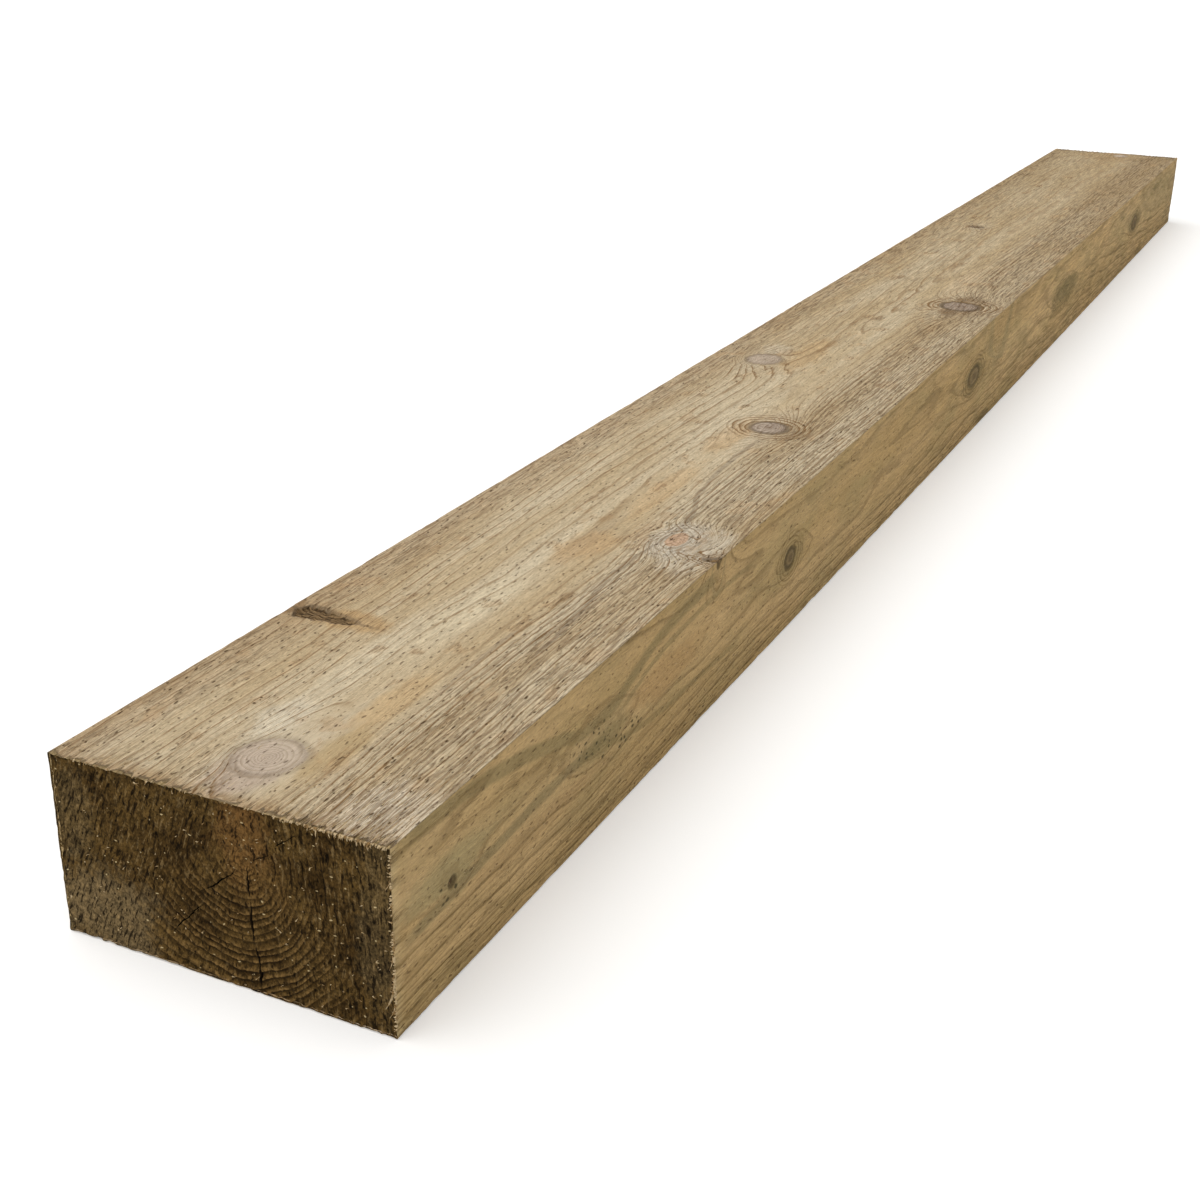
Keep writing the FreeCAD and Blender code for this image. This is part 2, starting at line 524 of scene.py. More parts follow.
def with_patches(colour, x, across, patches, ragged):
    """Adds patches of another colour with ragged edges."""
    for along, at, reach_along, reach_across, shade, share in patches:
        away = ellipse(x, across, along, at, reach_along, reach_across) + ragged
        colour = blend(away.rise(1.2, 0.55) * share, colour, srgb(*shade))
    return colour


def with_burl_core(colour, x, across, ragged):
    """Adds the orange core of the burl, with a dark line and pale rings round it."""
    along, at, reach_along, reach_across = BURL_CORE
    away = ellipse(x, across, along, at, reach_along, reach_across) + ragged * 0.3
    halo = away.rise(0.9, 1.1) * away.rise(3.2, 1.8)
    colour = blend(halo * 0.55, colour, srgb(216, 206, 188))
    rings = ring_profile(away * 2.2, 0.45) * away.rise(0.75, 1.1) * away.rise(3.2, 1.8)
    colour = blend(rings * 0.55, colour, srgb(138, 120, 94))
    core = blend(ring_profile(away * 3.1, 0.4) * 0.6, srgb(212, 176, 146), srgb(182, 142, 110))
    return blend(away.rise(1.1, 0.85) * 0.85, colour, core)


# Patches: along, across, reach along, reach across, colour, share. Across is y on the top and z on the sides.
TOP_PATCHES = [
    (84, 20, 26, 13, (220, 209, 186), 0.5),
    (24, -78, 34, 26, (224, 211, 190), 0.5),
    (402, -76, 46, 20, (216, 206, 186), 0.6),
    (28, 2, 27, 18, (190, 170, 150), 0.8),
    (66, -27, 34, 10, (178, 152, 108), 0.6),
    (128, -22, 40, 10, (198, 168, 124), 0.6),
    (203, 58, 14, 30, (184, 150, 104), 0.7),
    (250, 4, 60, 16, (214, 198, 166), 0.5),
    (372, -12, 34, 17, (192, 158, 114), 0.55),
    (205, 98, 14, 6, (134, 104, 70), 0.7),
    (500, -14, 70, 10, (200, 170, 128), 0.5),
    (640, -8, 50, 12, (192, 158, 114), 0.4),
    (905, 20, 70, 16, (190, 158, 112), 0.6),
    (912, 54, 22, 14, (210, 197, 172), 0.45),
    (1138, -50, 20, 9, (122, 106, 82), 0.65),
    (1202, -52, 20, 9, (122, 106, 82), 0.65),
    (1290, -30, 80, 16, (202, 180, 146), 0.5),
    (2360, 0, 60, 60, (166, 138, 98), 0.5),
]
SIDE_PATCHES = [
    (55, 64, 44, 12, (150, 136, 96), 0.6),
    (318, 58, 60, 13, (174, 141, 94), 0.75),
    (140, 40, 110, 7, (172, 142, 98), 0.6),
    (225, 51, 36, 9, (118, 106, 66), 0.4),
    (534, 55, 34, 17, (128, 112, 72), 0.45),
    (1067, 58, 46, 19, (118, 104, 66), 0.55),
    (1127, 3, 30, 7, (96, 84, 52), 0.6),
    (1515, 56, 90, 19, (112, 98, 60), 0.6),
    (2013, 60, 46, 16, (104, 92, 58), 0.55),
    (2089, 4, 34, 8, (92, 80, 48), 0.6),
]
END_PATCHES = [
    (-16, 86, 18, 30, (112, 80, 44), 0.6),
    (-24, 64, 20, 16, (104, 78, 42), 0.4),
    (76, 18, 40, 28, (122, 104, 74), 0.7),
    (-92, 60, 14, 60, (96, 82, 56), 0.4),
    (88, 70, 16, 30, (98, 84, 58), 0.4),
]
# The smooth area round the knot by the checked end: along, y, reach along, reach across.
CALM_AREA = (62.0, -9.0, 62.0, 21.0)
# The same round the burl.
BURL_AREA = (408.0, -76.0, 46.0, 24.0)
# Clusters of dark specks on the right side: along, z, reach along, reach across.
SPOT_CLUSTERS = [(50, 54, 13, 9), (208, 60, 30, 10), (240, 45, 40, 9), (1500, 50, 60, 16)]
# Stripes: the traced line, half its width, colour, share.
TOP_BANDS = [
    ([(130, -39), (165, -37), (205, -36), (250, -38)], 2.2, (168, 150, 124), 0.6),
    (
        [(200, -63), (285, -55), (350, -48), (438, -53), (500, -39), (600, -31), (650, -33)],
        2.6, (160, 144, 120), 0.75,
    ),
]
SIDE_BANDS = [
    (
        [(0, 101), (60, 98), (115, 91), (170, 78), (215, 69), (262, 77), (310, 88), (400, 93)],
        6.0, (142, 124, 84), 0.8,
    ),
    ([(0, 46), (60, 50), (115, 53), (170, 55), (235, 53)], 5.0, (138, 121, 84), 0.8),
    ([(215, 53), (262, 41), (300, 36), (360, 33), (440, 30)], 3.0, (138, 120, 80), 0.6),
    ([(235, 58), (262, 66), (310, 76), (380, 80), (470, 78)], 3.0, (140, 122, 82), 0.6),
]


def top_colour(wood, place, ragged):
    """The bleached top: pale cream with thin brown ring lines, tan patches and grey bands."""
    x, y, across = place
    pale = blend(wood["broad"].rise(0.3, 0.7), srgb(208, 192, 162), srgb(190, 168, 132))
    warm = (wood["ring"] * 0.37).math("SINE").rise(-0.2, 1.0) * wood["eye"].rsub(1.0)
    pale = blend(warm * wood["flat"].rise(0.8, 0.97) * 0.45, pale, srgb(200, 166, 124))
    pale = blend(wood["eye"] * 0.5, pale, srgb(208, 195, 172))
    left_edge = (y + ragged * 34.0).rise(60.0, 104.0)
    near_end = (x + ragged * 14.0).rise(16.0, 1.0) * 0.6
    pale = blend((left_edge * 0.55).math("MAXIMUM", near_end), pale, srgb(164, 132, 94))
    pale = blend(x.rise(200.0, 2400.0) * 0.65, pale, srgb(164, 142, 105))
    pale = with_patches(pale, x, across, TOP_PATCHES, ragged)
    pale = with_bands(pale, x, across, TOP_BANDS, ragged)
    pale = with_burl_core(pale, x, across, ragged)
    pale = blend(wood["island"] * 0.3, pale, srgb(184, 148, 106))
    calm = ellipse(x, y, *CALM_AREA).rise(1.2, 0.7)
    lines = wood["late"] * 0.2 + wood["edge_line"] * 0.66 + wood["fine_line"] * 0.2
    lines = lines * (wood["flat"].rise(0.9, 1.0) * -0.6 + 1.0) * (calm * -0.75 + 1.0)
    lines = lines * (wood["eye"] * 0.8 + 1.0) + wood["arcs"] * 0.95
    return blend(lines.clamp(), pale, srgb(132, 102, 66)), calm


def side_colour(wood, place, ragged, right):
    """The sides and underside: khaki, with grey-green bands and stains that grow towards the far end."""
    x, _, across = place
    khaki = blend(wood["broad"].rise(0.3, 0.7), srgb(190, 160, 113), srgb(176, 147, 99))
    khaki = blend(wood["patch"].rise(0.4, 0.75) * 0.6, khaki, srgb(154, 136, 92))
    grey = (wood["age"] * (1 / 13.0)).math("SINE").rise(0.6, 0.95) * wood["flat"].rise(0.7, 0.9)
    khaki = blend(grey * 0.5, khaki, srgb(144, 128, 90))
    marked = with_bands(khaki, x, across, SIDE_BANDS, ragged)
    marked = with_patches(marked, x, across, SIDE_PATCHES, ragged)
    khaki = blend(right, khaki, marked)
    khaki = blend(x.rise(9.0, 1.0) * 0.35, khaki, srgb(200, 178, 134))
    steep = wood["flat"].rise(0.96, 0.8)
    lines = wood["late"] * 0.22 + wood["edge_line"] * 0.62 + wood["fine_line"] * (steep * 0.4 + 0.15)
    lines = lines * (wood["flat"].rise(0.9, 1.0) * -0.4 + 1.0) + wood["arcs"] * across.rise(98.0, 84.0) * 0.6
    khaki = blend(lines.clamp(), khaki, srgb(112, 90, 52))
    towards_far = x.rise(500.0, 2300.0) * 0.5 + 0.12
    return blend(wood["stain"].rise(0.54, 0.72) * towards_far, khaki, srgb(96, 86, 48))


def knot_colour(wood, top, colour):
    """The branches: lilac grey on the top, dark brown on the sides, with a bark ring or a rotted hollow."""
    line = ring_profile(wood["ring"], 0.3)
    live = blend(line * 0.55, srgb(196, 178, 158), srgb(158, 138, 116))
    dead = blend(line * 0.7, srgb(172, 155, 140), srgb(116, 98, 80))
    dead = blend(wood["age"].rise(9.0, 1.5) * 0.7, dead, srgb(104, 82, 60))
    knot_top = blend(wood["dead"].rise(0.2, 0.9), live, dead)
    knot_side = blend(line * 0.6, srgb(128, 108, 75), srgb(88, 74, 48))
    knot_side = blend(wood["age"].rise(62.0, 12.0) * 0.75, knot_side, srgb(80, 64, 42))
    mottled = wood["knot"] * (wood["patch"] * 0.5 + 0.55)
    colour = blend(mottled.clamp(), colour, blend(top, knot_side, knot_top))
    rim = wood["rim"] * (wood["patch"] * 0.8 + 0.5)
    colour = blend(rim.clamp() * 0.9, colour, blend(top, srgb(74, 62, 38), srgb(104, 88, 68)))
    streaks = blend(wood["cross_grain"].rise(0.42, 0.58), srgb(70, 54, 34), srgb(140, 114, 80))
    return blend(wood["hollow"].rise(0.0, 0.7), colour, streaks)


def long_grain(group):
    """The weathered long faces: bleached on top, khaki and a little mossy on the sides."""
    material, tree, shader, place, facing = new_material("weathered_long_grain")
    x, y, z = place.parts()
    wood = field_wires(tree, group, place)
    _, ny, nz = facing.parts()
    top = nz.rise(0.35, 0.75)
    across = lerp(nz.math("ABSOLUTE").rise(0.6, 0.8), z, y)
    pith_y, pith_z = pith_at(x)
    outward_y, outward_z = y - pith_y, z - pith_z
    reach = (outward_y * outward_y + outward_z * outward_z).math("SQRT")
    flat = ((outward_y * ny + outward_z * nz) / reach).math("ABSOLUTE")
    torn_right = y.rise(-28.0, -56.0)
    torn_left = y.rise(58.0, 88.0) * 0.85
    near_sawn = x.rise(45.0, 8.0) * 0.7
    torn_top = torn_right.math("MAXIMUM", torn_left).math("MAXIMUM", near_sawn)
    rough = lerp(top, flat.rise(0.98, 0.6) * 0.8 + 0.1, torn_top)

    face_place = joined(tree, x, across, top * 40.0)
    broad = noise(face_place, (300.0, 30.0, 9.0), detail=2.0, seed=4.0)
    patch = noise(face_place, (90.0, 34.0, 9.0), detail=3.0, roughness=0.6, seed=5.0)
    small_patch = noise(face_place, (24.0, 9.0, 9.0), detail=3.0, roughness=0.6, seed=15.0)
    island = noise(face_place, (34.0, 20.0, 9.0), detail=3.0, roughness=0.6, seed=14.0).rise(0.58, 0.66)
    rough = rough.math("MAXIMUM", island * 0.8)
    bend = (noise(face_place, (30.0, 12.0, 9.0), detail=1.0, seed=12.0) - 0.5) * 5.0
    bent = joined(tree, x, across + bend, top * 40.0)
    fibre = noise(bent, (14.0, 1.0, 9.0), detail=3.0, roughness=0.65, seed=6.0)
    coarse = noise(bent, (34.0, 1.9, 9.0), detail=2.0, roughness=0.55, seed=7.0)
    speck = noise(face_place, (2.6, 1.2, 9.0), detail=2.0, roughness=0.6, seed=8.0)
    torn = noise(bent, (9.0, 2.2, 9.0), detail=4.0, roughness=0.7, seed=13.0)

    fade = patch.rise(0.2, 0.55) * 0.45 + 0.55
    strength = (white(wood["ring"].math("FLOOR"), 1.0) * 0.4 + 0.55) * fade
    broken = coarse.rise(0.3, 0.55) * 0.6 + 0.4
    orbit = wood["orbit"]
    around = orbit.rise(0.1, 0.5) * orbit.rise(5.0, 2.4) * (small_patch.rise(0.35, 0.55) * 0.7 + 0.3)
    wood.update(
        arcs=ring_profile(orbit + (patch - 0.5) * 1.5 + coarse * 0.3, 0.3) * around,
        flat=flat,
        broad=broad,
        patch=patch,
        island=island,
        late=ring_profile(wood["ring"], 0.4) * strength,
        edge_line=ring_profile(wood["ring"], 0.76) * strength * broken,
        fine_line=ring_profile(wood["ring"] * 3.0 + coarse * 2.0, 0.5) * fade,
        stain=noise(face_place, (130.0, 22.0, 9.0), detail=4.0, roughness=0.65, seed=9.0),
        cross_grain=noise(face_place, (1.4, 13.0, 9.0), detail=3.0, roughness=0.6, seed=16.0),
    )
    ragged = (patch - 0.5) * 0.9 + (small_patch - 0.5) * 1.1
    spot = (x, y, across)
    right = ny.rise(-0.3, -0.7)
    pale, calm = top_colour(wood, spot, ragged)
    colour = blend(top, side_colour(wood, spot, ragged, right), pale)
    colour = knot_colour(wood, top, colour)

    # raised and broken fibres, with painted shade in the gaps and tears between them
    comb = ring_profile(wood["ring"] * 1.7 + (coarse - 0.5) * 1.2, 0.66) * torn_right * top
    split = coarse.rise(0.475, 0.40) * (rough * 0.8 + 0.2)
    gap = split.math("MAXIMUM", comb)
    tear = torn.rise(0.42, 0.355) * (rough * 0.65 + 0.35)
    lifted = fibre.rise(0.54, 0.62) * (rough * 0.5 + 0.5)
    still = calm.math("MAXIMUM", ellipse(x, y, *BURL_AREA).rise(1.2, 0.6) * top)
    smooth_part = lerp(top, 0.72, 1.0) * (still * -0.55 + 1.0)
    gap_shade_colour = blend(top, srgb(106, 84, 46), srgb(116, 88, 56))
    # painted shade: the gaps and tears, which the bump also sinks, are darkened in the colour
    colour = blend((gap * 0.48 + tear * 0.36).clamp() * smooth_part, colour, gap_shade_colour)
    tone = (fibre.rise(0.36, 0.64) - 0.5) * 0.24 + (speck.rise(0.34, 0.66) - 0.5) * 0.2 + lifted * 0.12
    colour = shaded(colour, (tone * smooth_part + 1.02).math("MAXIMUM", 0.3))
    far_tone = ((small_patch - 0.5) * 0.5 + (coarse - 0.5) * 0.95) * x.rise(350.0, 1500.0)
    colour = shaded(colour, far_tone + 1.0)
    marks = ticks(tree, x, across, (13.0, 8.0), 2.6, 0.75, 0.62, 3.0)
    small = ticks(tree, x, across, (7.0, 5.0), 1.5, 0.6, 0.5, 11.0)
    dark = marks.math("MAXIMUM", small * 0.85) * (rough * 0.3 + 0.7) * lerp(top, 0.8, 1.0)
    colour = blend(dark * 0.9, colour, srgb(78, 56, 30))
    spots = ticks(tree, x, z, (7.5, 4.5), 2.4, 1.3, 0.6, 17.0) * right
    for along, at, reach_along, reach_across in SPOT_CLUSTERS:
        within = ellipse(x, z, along, at, reach_along, reach_across).rise(1.2, 0.6)
        colour = blend(spots * within * 0.85, colour, srgb(58, 52, 30))

    plug(tree, shader.inputs["Base Color"], colour)
    plug(tree, shader.inputs["Roughness"], (fibre * 0.25 + wood["late"] * -0.08 + 0.72).clamp())
    height = fibre * 0.7 + speck * 0.3 - split * 0.55 - tear * 0.5 - marks * 0.7 + lifted * 0.25
    bumped(tree, shader, height, 0.8, 0.9)
    return material


def end_grain(group):
    """The sawn ends: dark brown, with ring lines, torn fibre ends and pale flecks."""
    material, tree, shader, place, _ = new_material("weathered_end_grain")
    shader.inputs["Specular IOR Level"].default_value = 0.03
    _, y, z = place.parts()
    wood = field_wires(tree, group, place)
    flat_place = joined(tree, 0.0, y, z)
    blotch = noise(flat_place, (9.0, 34.0, 26.0), detail=3.0, roughness=0.6, seed=20.0)
    mottle = noise(flat_place, (9.0, 3.6, 3.6), detail=3.0, roughness=0.65, seed=21.0)
    pores = noise(flat_place, (9.0, 1.2, 1.4), detail=2.0, roughness=0.6, seed=22.0)
    leaning = joined(tree, 0.0, y + z * 0.35, z * 0.28)
    upright = joined(tree, 0.0, y - z * 0.06, z * 0.25)
    sawn_left = noise(leaning, (9.0, 1.9, 2.2), detail=2.0, roughness=0.6, seed=23.0)
    sawn_right = noise(upright, (9.0, 1.7, 2.2), detail=2.0, roughness=0.6, seed=24.0)
    strokes = lerp(y.rise(-45.0, 15.0), sawn_right, sawn_left)
    ragged = (blotch - 0.5) * 1.2 + (mottle - 0.5) * 1.0

    ring_id = wood["ring"].math("FLOOR")
    share = wood["ring"].math("FRACT")
    line = share.rise(0.4, 0.85) * share.rise(1.0, 0.96)
    gap = share.rise(0.0, 0.04) * share.rise(0.42, 0.16)
    off_y, off_z = y - PITH_Y - 6.0, z - 22.0
    below = (off_y * off_y * 0.7 + off_z * off_z).math("SQRT").rise(62.0, 22.0)
    broken = mottle.rise(0.3, 0.55) * 0.7 + 0.3
    strength = (white(ring_id, 2.0) * 0.5 + 0.55) * (below * 0.85 + 0.15) * broken

    base = blend(blotch.rise(0.35, 0.65), srgb(58, 42, 19), srgb(86, 66, 34))
    base = with_patches(base, y, z, END_PATCHES, ragged)
    colour = blend(line * strength * 0.7, base, srgb(124, 97, 57))
    colour = blend(gap * strength * 0.9, colour, srgb(26, 17, 7))
    away = below.rsub(1.0) * 0.6 + 0.4
    dark_strokes = strokes.rise(0.44, 0.37) * away
    pale_strokes = strokes.rise(0.56, 0.64) * away
    colour = blend(dark_strokes * 0.85, colour, srgb(21, 14, 6))
    colour = blend(pale_strokes * 0.4, colour, srgb(132, 110, 74))
    tone = (mottle.rise(0.34, 0.66) - 0.5) * 0.6 + (pores.rise(0.38, 0.62) - 0.5) * 0.6 + 0.97
    colour = shaded(colour, tone.math("MAXIMUM", 0.2))
    fleck = ticks(tree, y, z, (8.0, 8.0), 1.0, 0.5, 0.26, 5.0)
    colour = blend(fleck * 0.85, colour, srgb(206, 184, 138))
    pits = ticks(tree, z, y, (6.3, 5.1), 1.7, 0.6, 0.4, 9.0)
    colour = blend(pits * 0.85, colour, srgb(18, 12, 5))

    plug(tree, shader.inputs["Base Color"], colour)
    plug(tree, shader.inputs["Roughness"], (mottle * 0.25 + 0.7).clamp())
    height = mottle * 0.6 + pores * 0.6 + strokes * 0.8 - pits * 0.5
    bumped(tree, shader, height, 1.1, 0.9)
    return material


def fibre_material():
    """Fibres torn up by the saw: bleached straw, with some darker ones among them."""
    material, tree, shader, place, _ = new_material("torn_fibre")
    patchy = noise(place, (7.0, 1.6, 3.0), detail=1.0, seed=31.0)
    streak = noise(place, (3.0, 0.3, 0.3), detail=1.0, seed=32.0)
    colour = blend(patchy.rise(0.42, 0.62), srgb(204, 180, 140), srgb(150, 120, 78))
    colour = shaded(colour, streak * 0.5 + 0.75)
    plug(tree, shader.inputs["Base Color"], colour)
    plug(tree, shader.inputs["Roughness"], streak * 0.2 + 0.7)
    bumped(tree, shader, streak, 0.2)
    return material


def check_wall_painted_shade():
    """The torn walls inside a drying check, painted dark brown to near black as shade for the check's depth.
    """
    material, tree, shader, place, _ = new_material("check_wall_painted_shade")
    grain = noise(place, (6.0, 0.8, 0.8), detail=3.0, seed=30.0)
    # painted shade: the walls are darker than the end grain round the check
    colour = blend(grain.rise(0.3, 0.7), srgb(24, 17, 9), srgb(52, 38, 20))
    plug(tree, shader.inputs["Base Color"], colour)
    plug(tree, shader.inputs["Roughness"], grain * 0.2 + 0.75)
    bumped(tree, shader, grain, 0.6)
    return material


# ---------------------------------------------------------------- the baulk


def spaced_along():
    """Stations along the length: close together near the checked end and the knots, wider far away."""
    knots = np.array([branch.along for branch in BRANCHES], float)
    found = [0.0, 0.4, 0.9, 1.6, 2.6, 4.0]
    while found[-1] < LENGTH_MM - 6.0:
        at = found[-1]
        step = 3.2 + 9.0 * at / LENGTH_MM
        crowd = np.exp(-(((at - knots) / 32.0) ** 2)).max()
        found.append(at + step * (1.0 - 0.45 * crowd))
    found = np.array(found)
    found = found * (LENGTH_MM - 4.0) / found[-1]
    return np.concatenate([found, LENGTH_MM - np.array([2.6, 1.6, 0.9, 0.4, 0.0])])


def spaced_across(span, step):
    """Lines across a face: very close at both arrises and even between them."""
    edge = np.array([0.0, 0.45, 0.95, 1.6, 2.4, 3.4])
    count = int(round((span - 2 * edge[-1]) / step))
    middle = np.linspace(edge[-1], span - edge[-1], count + 1)[1:-1]
    return np.concatenate([edge, middle, span - edge[::-1]])


def box_grid():
    """A closed box of quads: the places of its vertices in mm, its quads, and which quads are sawn ends."""
    xs = spaced_along()
    ys = spaced_across(2 * HALF_WIDTH_MM, 1.15) - HALF_WIDTH_MM
    zs = spaced_across(THICKNESS_MM, 1.35)
    ny, nz = len(ys) - 1, len(zs) - 1
    loop = [(j, 0) for j in range(ny)] + [(ny, k) for k in range(nz)]
    loop += [(j, nz) for j in range(ny, 0, -1)] + [(0, k) for k in range(nz, 0, -1)]
    loop = np.array(loop)
    count = len(loop)
    rim_places = np.stack([ys[loop[:, 0]], zs[loop[:, 1]]], 1)
    places = [np.column_stack([np.full(count, x), rim_places]) for x in xs]
    station = np.arange(len(xs) - 1)[:, None] * count
    first = np.arange(count)[None, :]
    after = (first + 1) % count
    quads = np.stack([station + first, station + count + first, station + count + after, station + after], -1)
    quads = [quads.reshape(-1, 4)[:, ::-1]]
    ends = [np.zeros(len(quads[0]), bool)]
    total = count * len(xs)
    for at, offset, flip in ((0, 0, False), (len(xs) - 1, count * (len(xs) - 1), True)):
        index = np.full((ny + 1, nz + 1), -1)
        index[loop[:, 0], loop[:, 1]] = offset + np.arange(count)
        inner_y, inner_z = np.meshgrid(np.arange(1, ny), np.arange(1, nz), indexing="ij")
        index[1:ny, 1:nz] = total + np.arange(inner_y.size).reshape(inner_y.shape)
        inner_x = np.full(inner_y.size, xs[at])
        places.append(np.column_stack([inner_x, ys[inner_y.ravel()], zs[inner_z.ravel()]]))
        total += inner_y.size
        cap = np.stack([index[:-1, :-1], index[:-1, 1:], index[1:, 1:], index[1:, :-1]], -1).reshape(-1, 4)
        quads.append(cap[:, ::-1] if flip else cap)
        ends.append(np.ones(len(cap), bool))
    return np.concatenate(places), np.concatenate(quads), np.concatenate(ends)


def mesh_from(name, places_m, faces, material_index=None, materials=()):
    """A smooth-shaded object from arrays of places in metres and of faces that all have as many corners."""
    mesh = bpy.data.meshes.new(name)
    sizes = faces.shape[1]
    mesh.vertices.add(len(places_m))
    mesh.vertices.foreach_set("co", places_m.astype(np.float32).ravel())
    mesh.loops.add(faces.size)
    mesh.loops.foreach_set("vertex_index", faces.astype(np.int32).ravel())
    mesh.polygons.add(len(faces))
    mesh.polygons.foreach_set("loop_start", (np.arange(len(faces)) * sizes).astype(np.int32))
    for material in materials:
        mesh.materials.append(material)
    if material_index is not None:
        mesh.polygons.foreach_set("material_index", material_index.astype(np.int32))
    mesh.polygons.foreach_set("use_smooth", np.ones(len(faces), bool))
    mesh.update(calc_edges=True)
    mesh.validate()
    made = bpy.data.objects.new(name, mesh)
    bpy.context.scene.collection.objects.link(made)
    return made


NOISES = {
    "sway": ((170.0, 60.0, 40.0), 1.0, 40.0),
    "patches": ((26.0, 12.0, 12.0), 2.0, 41.0),
    "streaks": ((46.0, 3.2, 3.2), 2.0, 42.0),
    "edge_wear": ((19.0, 9.0, 9.0), 3.0, 43.0),
    "edge_chips": ((6.0, 5.0, 5.0), 2.0, 44.0),
    "end_lumps": ((9.0, 8.0, 8.0), 3.0, 45.0),
    "end_fibres": ((4.0, 1.8, 1.8), 2.0, 46.0),
}


def sampled(obj, group):
    """The ring field and the relief's noises at every vertex of a mesh, as numpy arrays."""
    tree = bpy.data.node_groups.new("sample_fields", "GeometryNodeTree")
    tree.interface.new_socket("Geometry", in_out="INPUT", socket_type="NodeSocketGeometry")
    tree.interface.new_socket("Geometry", in_out="OUTPUT", socket_type="NodeSocketGeometry")
    start = tree.nodes.new("NodeGroupInput")
    end = tree.nodes.new("NodeGroupOutput")
    place = along_place(tree, tree.nodes.new("GeometryNodeInputPosition").outputs[0])
    values = dict(field_wires(tree, group, place))
    for name, (size, detail, seed) in NOISES.items():
        values[name] = noise(place, size, detail=detail, seed=seed)
    geometry = start.outputs[0]
    for name, wire in values.items():
        store = tree.nodes.new("GeometryNodeStoreNamedAttribute")
        store.data_type = "FLOAT"
        store.domain = "POINT"
        store.inputs["Name"].default_value = name
        tree.links.new(geometry, store.inputs["Geometry"])
        plug(tree, store.inputs["Value"], wire)
        geometry = store.outputs[0]
    tree.links.new(geometry, end.inputs[0])
    modifier = obj.modifiers.new("sample", "NODES")
    modifier.node_group = tree
    evaluated = obj.evaluated_get(bpy.context.evaluated_depsgraph_get())
    found = {}
    for name in values:
        numbers = np.empty(len(obj.data.vertices), np.float32)
        evaluated.data.attributes[name].data.foreach_get("value", numbers)
        found[name] = numbers.astype(float)
    obj.modifiers.remove(modifier)
    return found


def smooth(value, low, high):
    """Wire.rise for plain numbers and arrays."""
    share = np.clip((value - low) / (high - low), 0.0, 1.0)
    return share * share * (3.0 - 2.0 * share)


def rounded(places, radius_long, radius_end):
    """Moves points of the box onto one with rounded arrises. Returns them and their outward directions."""
    x, y, z = places.T
    inner_x = np.clip(x, radius_end, LENGTH_MM - radius_end)
    inner_y = np.clip(y, radius_long - HALF_WIDTH_MM, HALF_WIDTH_MM - radius_long)
    inner_z = np.clip(z, radius_long, THICKNESS_MM - radius_long)
    inner = np.column_stack([inner_x, inner_y, inner_z])
    out = places - inner
    scaled = out / np.column_stack([radius_end, radius_long, radius_long])
    length = np.linalg.norm(scaled, axis=1, keepdims=True)
    length = np.where(length < 1e-6, 1.0, length)
    moved = inner + out / np.maximum(length, 1e-6) * np.minimum(length, 1.0)
    direction = scaled / length
    return moved, direction


def sculpted(places, values):
    """The relief: raised grain, torn patches, worn arrises, knots and the ragged ends. All in mm."""
    worn = smooth(values["edge_wear"], 0.45, 0.8)
    chipped = smooth(values["edge_chips"], 0.66, 0.85)
    radius_long = 0.9 + 1.3 * worn + 1.5 * chipped
    radius_end = 0.3 + 0.7 * smooth(values["edge_chips"], 0.4, 0.8)
    moved, direction = rounded(places, radius_long, radius_end)
    x, y, z = places.T
    level = np.abs(direction[:, 2])
    end = smooth(np.abs(direction[:, 0]), 0.4, 0.9)
    pith_y, pith_z = pith_number(x)
    outward = np.column_stack([y - pith_y, z - pith_z])
    outward /= np.maximum(np.linalg.norm(outward, axis=1, keepdims=True), 1e-6)
    flat = np.abs((outward * direction[:, 1:]).sum(1))
    rough = smooth(-flat, -0.95, -0.6)
    share = values["ring"] - np.floor(values["ring"])
    late = smooth(share, 0.35, 0.88) * smooth(-share, -1.0, -0.93)

    from_arris = np.where(level > 0.7, HALF_WIDTH_MM - np.abs(y), np.minimum(z, THICKNESS_MM - z))
    sunk = 0.4 * smooth(values["sway"], 0.3, 0.7)
    sunk += (1.0 - late) * (0.18 + 0.42 * rough)
    sunk += 0.5 * smooth(values["streaks"], 0.35, 0.7) * (0.35 + 0.65 * rough)
    sunk += 0.8 * smooth(values["patches"], 0.6, 0.78) * rough
    sunk -= 0.25 * values["knot"]
    sunk += 0.9 * values["rim"] * (1.0 - 0.3 * level)
    sunk += 3.2 * values["hollow"]
    lumps = smooth(values["end_lumps"], 0.3, 0.75)
    torn_ends = smooth(values["end_fibres"], 0.35, 0.75)
    end_sunk = 0.45 + 0.8 * lumps + 0.5 * torn_ends + 0.45 * (1.0 - late)
    sunk = np.maximum(sunk, 0.0) * (0.35 + 0.65 * smooth(from_arris, 0.0, 6.0))
    depth = sunk * (1.0 - end) + end_sunk * end
    moved = moved - direction * depth[:, None]
    moved[:, 0] = np.clip(moved[:, 0], 0.0, LENGTH_MM)
    moved[:, 1] = np.clip(moved[:, 1], -HALF_WIDTH_MM, HALF_WIDTH_MM)
    moved[:, 2] = np.clip(moved[:, 2], 0.0, THICKNESS_MM)
    return moved


def metres(places):
    """Places in mm from the checked end as object coordinates in metres."""
    return (places - np.array([HALF_LENGTH_MM, 0.0, 0.0])) * MM


def applied(obj):
    """Replaces the object's mesh by the mesh that its modifiers make."""
    evaluated = obj.evaluated_get(bpy.context.evaluated_depsgraph_get())
    mesh = bpy.data.meshes.new_from_object(evaluated)
    obj.modifiers.clear()
    old = obj.data
    obj.data = mesh
    bpy.data.meshes.remove(old)


def keep_inside(obj):
    """Puts back inside the box any vertex that thinning pushed out of it."""
    places = np.empty(len(obj.data.vertices) * 3, np.float32)
    obj.data.vertices.foreach_get("co", places)
    held = np.clip(places.reshape(-1, 3), np.array(LOW), np.array(HIGH))
    obj.data.vertices.foreach_set("co", held.astype(np.float32).ravel())
    obj.data.update()


